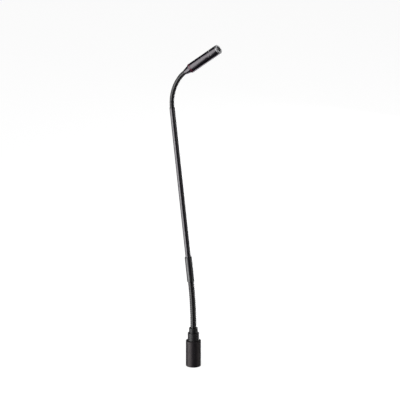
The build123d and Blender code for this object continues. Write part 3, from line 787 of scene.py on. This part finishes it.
def make_element_housing():
    """The front of the housing, with a groove inside it that seats the ports' gauze."""
    length = RING_START - ELEMENT_START
    port = PORT_POSITION - ELEMENT_START
    corners = [
        (-ELEMENT_SPIGOT_LENGTH, ELEMENT_SPIGOT_BORE, 0.1),
        (-ELEMENT_SPIGOT_LENGTH, SPIGOT_RADIUS, 0.1),
        (0.0, SPIGOT_RADIUS, 0.0),
        (0.0, HEAD_RADIUS, 0.12),
        (port - PORT_SEAT_HALF, HEAD_RADIUS, 0.0),
        (port + PORT_SEAT_HALF, HEAD_RADIUS, 0.0),
        (length, HEAD_RADIUS, 0.12),
        (length, ELEMENT_BORE, 0.1),
        (port + PORT_SEAT_HALF, ELEMENT_BORE, 0.0),
        (port + PORT_SEAT_HALF, PORT_SEAT_RADIUS, 0.0),
        (port - PORT_SEAT_HALF, PORT_SEAT_RADIUS, 0.0),
        (port - PORT_SEAT_HALF, ELEMENT_BORE, 0.0),
        (ELEMENT_SHELF, ELEMENT_BORE, 0.0),
        (ELEMENT_SHELF, ELEMENT_SPIGOT_BORE, 0.0),
    ]
    start = HEAD_START + ELEMENT_START
    element = turned("element", start, corners, MATERIALS["head_paint"], sides=FINE_SIDES)
    cut(element, [port_drill(tangent, outward) for tangent, outward in port_directions()])
    stand_in(element, "head", "head_paint", "element_housing")


def port_drill(tangent, outward, sides=40):
    """The cutter of one port, flared at the surface."""
    origin = spot(HEAD_START + PORT_POSITION)[0]
    side = tangent.cross(outward)
    rings = []
    for reach, share in PORT_DRILL:
        middle = origin + outward * reach * MM
        angles = [math.tau * k / sides for k in range(sides)]
        spokes = [side * math.cos(a) + tangent * math.sin(a) for a in angles]
        rings.append([middle + spoke * share * PORT_RADIUS * MM for spoke in spokes])
    return rope_of_rings(rings)


def make_front_ring():
    """The bright ring at the front, with a thin lip round its opening."""
    length = HEAD_END - RING_START
    corners = [
        (0, ELEMENT_BORE, 0.05),
        (0, HEAD_RADIUS, 0.12),
        (length, HEAD_RADIUS - 0.02, 0.5),
        (length, OPENING_RADIUS, 0.22),
        (length - RING_LIP, OPENING_RADIUS + 0.05, 0.05),
        (length - RING_LIP, ELEMENT_BORE, 0.0),
    ]
    start = HEAD_START + RING_START
    ring = turned("front_ring_turned", start, corners, MATERIALS["ring_metal"], sides=FINE_SIDES)
    stand_in(ring, "head", "ring_metal", "front_ring")


def weave(centre, first, second, outward, radius, pitch, wire, sides=7):
    """The wires of a round plain-weave gauze, which cross over and under at every pitch.

    wire is a wire's radius. Each swings by a little more than that, to clear the ones it crosses."""
    swing = wire * 1.02
    count = int(radius / pitch)
    parts = []
    for along, across, phase in ((first, second, 0), (second, first, 1)):
        for line in range(-count, count + 1):
            offset = line * pitch
            reach = math.sqrt(radius ** 2 - offset ** 2)
            steps = max(4, round(2 * reach / pitch * 6))
            rings = []
            for step in range(steps + 1):
                t = -reach + 2 * reach * step / steps
                lift = swing * math.cos(math.pi * t / pitch + math.pi * (line + phase))
                middle = centre + (along * t + across * offset + outward * lift) * MM
                angles = [math.tau * k / sides for k in range(sides)]
                spokes = [across * math.cos(a) + outward * math.sin(a) for a in angles]
                rings.append([middle + spoke * wire * MM for spoke in spokes])
            parts.append(rope_of_rings(rings))
    return parts


def port_directions():
    """The way out of each port: the centre line's tangent there, and outward through the wall."""
    _, tangent, normal = spot(HEAD_START + PORT_POSITION)
    for port in range(PORT_COUNT):
        angle = math.tau * port / PORT_COUNT
        yield tangent, Vector((0, math.cos(angle), 0)) + normal * math.sin(angle)


def make_grille():
    """The round gauze behind the front ring's opening."""
    origin, tangent, normal = spot(HEAD_START + RING_START + GRILLE_POSITION)
    side = Vector((0, 1, 0))
    wires = weave(origin, normal, side, tangent, radius=GRILLE_RADIUS, pitch=0.42, wire=0.1)
    gauze = mesh_object("grille_gauze", *joined(wires), MATERIALS["grille_wire"], sharp=GAUZE_SHARP)
    stand_in(gauze, "head", "grille_wire", "front_grille")


def make_port_gauzes():
    """A small gauze pressed into each port, just under the surface."""
    origin = spot(HEAD_START + PORT_POSITION)[0]
    wires = []
    for tangent, outward in port_directions():
        centre = origin + outward * PORT_GAUZE_REACH * MM
        side = tangent.cross(outward)
        radius = PORT_RADIUS * PORT_GAUZE_SHARE
        wires += weave(centre, tangent, side, outward, radius, pitch=0.28, wire=0.08)
    gauzes = mesh_object("port_gauzes", *joined(wires), MATERIALS["port_wire"], sharp=GAUZE_SHARP)
    stand_in(gauzes, "head", "port_wire", "port_mesh")


def make_foam(rings=22, sides=90):
    """The foam disc behind the grille: its front is lumpy."""
    origin, tangent, normal = spot(HEAD_START + RING_START + FOAM_POSITION)
    verts, faces = [origin], []
    for ring in range(1, rings + 1):
        for k in range(sides):
            a = math.tau * k / sides
            flat = (normal * math.cos(a) + Vector((0, math.sin(a), 0))) * FOAM_RADIUS * ring / rings
            lump = noise.noise(flat * 3.0) * 0.09 + noise.noise(flat * 9.0) * 0.06
            drop = 0.12 if ring == rings else 0.0
            verts.append(origin + (flat + tangent * (lump - drop - 0.1)) * MM)
    rim = verts[1 + (rings - 1) * sides :]
    verts += [point - tangent * FOAM_THICKNESS * MM for point in rim]
    faces += [(0, 1 + k, 1 + (k + 1) % sides) for k in range(sides)]
    for ring in range(rings):
        low = 1 + ring * sides
        for k in range(sides):
            m = (k + 1) % sides
            faces.append((low + k, low + sides + k, low + sides + m, low + m))
    faces.append(tuple(1 + rings * sides + k for k in range(sides)))
    disc = mesh_object("foam", verts, faces, MATERIALS["windscreen_foam"])
    stand_in(disc, "head", "windscreen_foam", "foam_disc")


# ---- Stage ----
CAMERA_AZIMUTH, CAMERA_ELEVATION = 19.5, 19.0  # degrees
CAMERA_DISTANCE, VIEW_SIZE = 10.0, 0.5019  # metres, as are the rest on the stage
TARGET_RIGHT, TARGET_UP = 0.00822, 0.2075  # where the view's middle lies on the object
FLOOR_REACH = 40.0
PAPER_GLOW, WORLD_GLOW = 0.93, 0.025


def make_camera():
    """The photograph's viewing angle, without perspective, because its lens was a long one."""
    azimuth, elevation = math.radians(CAMERA_AZIMUTH), math.radians(CAMERA_ELEVATION)
    toward = Vector(
        (
            math.sin(azimuth) * math.cos(elevation),
            -math.cos(azimuth) * math.cos(elevation),
            math.sin(elevation),
        )
    )
    right = Vector((math.cos(azimuth), math.sin(azimuth), 0))
    up = toward.cross(right)
    camera = bpy.data.objects.new("camera", bpy.data.cameras.new("camera"))
    camera.data.type = "ORTHO"
    camera.data.ortho_scale = VIEW_SIZE
    camera.data.clip_end = 100.0
    camera.location = right * TARGET_RIGHT + up * TARGET_UP + toward * CAMERA_DISTANCE
    camera.rotation_mode = "QUATERNION"
    camera.rotation_quaternion = toward.to_track_quat("Z", "Y")
    bpy.context.scene.collection.objects.link(camera)
    bpy.context.scene.camera = camera
    return right, toward


def paper(name):
    """Grey paper with a faint grain. It glows almost white, so it is as pale far from the lights."""
    look = Finish(name, (0.25, 0.25, 0.25), 0.95)
    look.shader.inputs["Emission Color"].default_value = (1, 1, 1, 1)
    look.shader.inputs["Emission Strength"].default_value = PAPER_GLOW
    return look.relief(look.cloud(1.5, 3.0), 0.02).material


def make_softbox(name, centre, target, size, power, color=(1, 1, 1)):
    light = bpy.data.objects.new(name, bpy.data.lights.new(name, "AREA"))
    light.data.shape = "RECTANGLE"
    light.data.size, light.data.size_y = size
    light.data.energy = power
    light.data.color = color
    light.location = centre
    light.rotation_mode = "QUATERNION"
    light.rotation_quaternion = (centre - target).to_track_quat("Z", "Y")
    light.visible_camera = False
    bpy.context.scene.collection.objects.link(light)


def make_floor():
    """The plain pale floor, far wider than the view."""
    reach = FLOOR_REACH
    verts = [(-reach, -reach, 0), (reach, -reach, 0), (reach, reach, 0), (-reach, reach, 0)]
    floor = mesh_object("floor", verts, [(0, 1, 2, 3)], paper("floor_paper"))
    # It is left out of reflections, bounced light and shadows, so that the black finishes
    # mirror the softboxes and not the glowing floor.
    floor.visible_glossy = floor.visible_diffuse = floor.visible_shadow = False


def make_stage():
    """Camera, floor, seven softboxes about the stem's middle, and a faint world light."""
    right, toward = make_camera()
    make_floor()

    def around(turn, rise, far):
        """A place at a turn to the right of the camera and a rise, seen from the stem's middle."""
        turn, rise = math.radians(turn), math.radians(rise)
        level = toward_level * math.cos(turn) + right * math.sin(turn)
        return middle + (level * math.cos(rise) + Vector((0, 0, math.sin(rise)))) * far

    middle = Vector((0, 0, 0.25))
    toward_level = Vector((toward.x, toward.y, 0)).normalized()
    make_softbox("key", around(-67, -3, 0.95), middle, (1.0, 1.5), 15.5)
    make_softbox("fill", around(80, -31, 1.1), middle, (0.7, 0.5), 1.0)
    make_softbox("rim", around(152, -16, 1.0), middle, (0.4, 0.5), 4.5)
    make_softbox("face", around(137, 23, 1.0), middle, (0.5, 0.5), 2.0)
    make_softbox("kick", around(58, 6, 1.0), middle, (0.5, 0.5), 0.9)
    make_softbox("top", around(0, 88, 1.6), middle, (1.5, 1.5), 2.4)
    make_softbox("under", around(165, -55, 1.0), middle, (0.8, 0.6), 3.0, (0.95, 0.91, 1))
    world = bpy.data.worlds.new("studio")
    bpy.context.scene.world = world
    world.use_nodes = True
    world.node_tree.nodes["Background"].inputs["Color"].default_value = (1, 1, 1, 1)
    world.node_tree.nodes["Background"].inputs["Strength"].default_value = WORLD_GLOW
    bpy.context.scene.view_settings.view_transform = "Standard"


finish_nodes()
make_plug_shell()
make_collars()
make_neck(
    "lower",
    LOWER_HOSE,
    LOWER_START,
    LOWER_BEND[0],
    joints=7,
    bodies=body_chain("base", "stem"),
    root=35.0,
    tip=STEM_START + NECK_GRIP - 0.1,
)
make_stem()
make_neck(
    "upper",
    UPPER_HOSE,
    UPPER_START,
    EASY_BEND[0] + TIGHT_BEND[0],
    joints=9,
    bodies=body_chain("stem", "head"),
    root=UPPER_START - NECK_GRIP,
    tip=HEAD_START + 6.9,
)
make_tail()
make_housing()
make_element_housing()
make_front_ring()
make_grille()
make_port_gauzes()
make_foam()
make_stage()
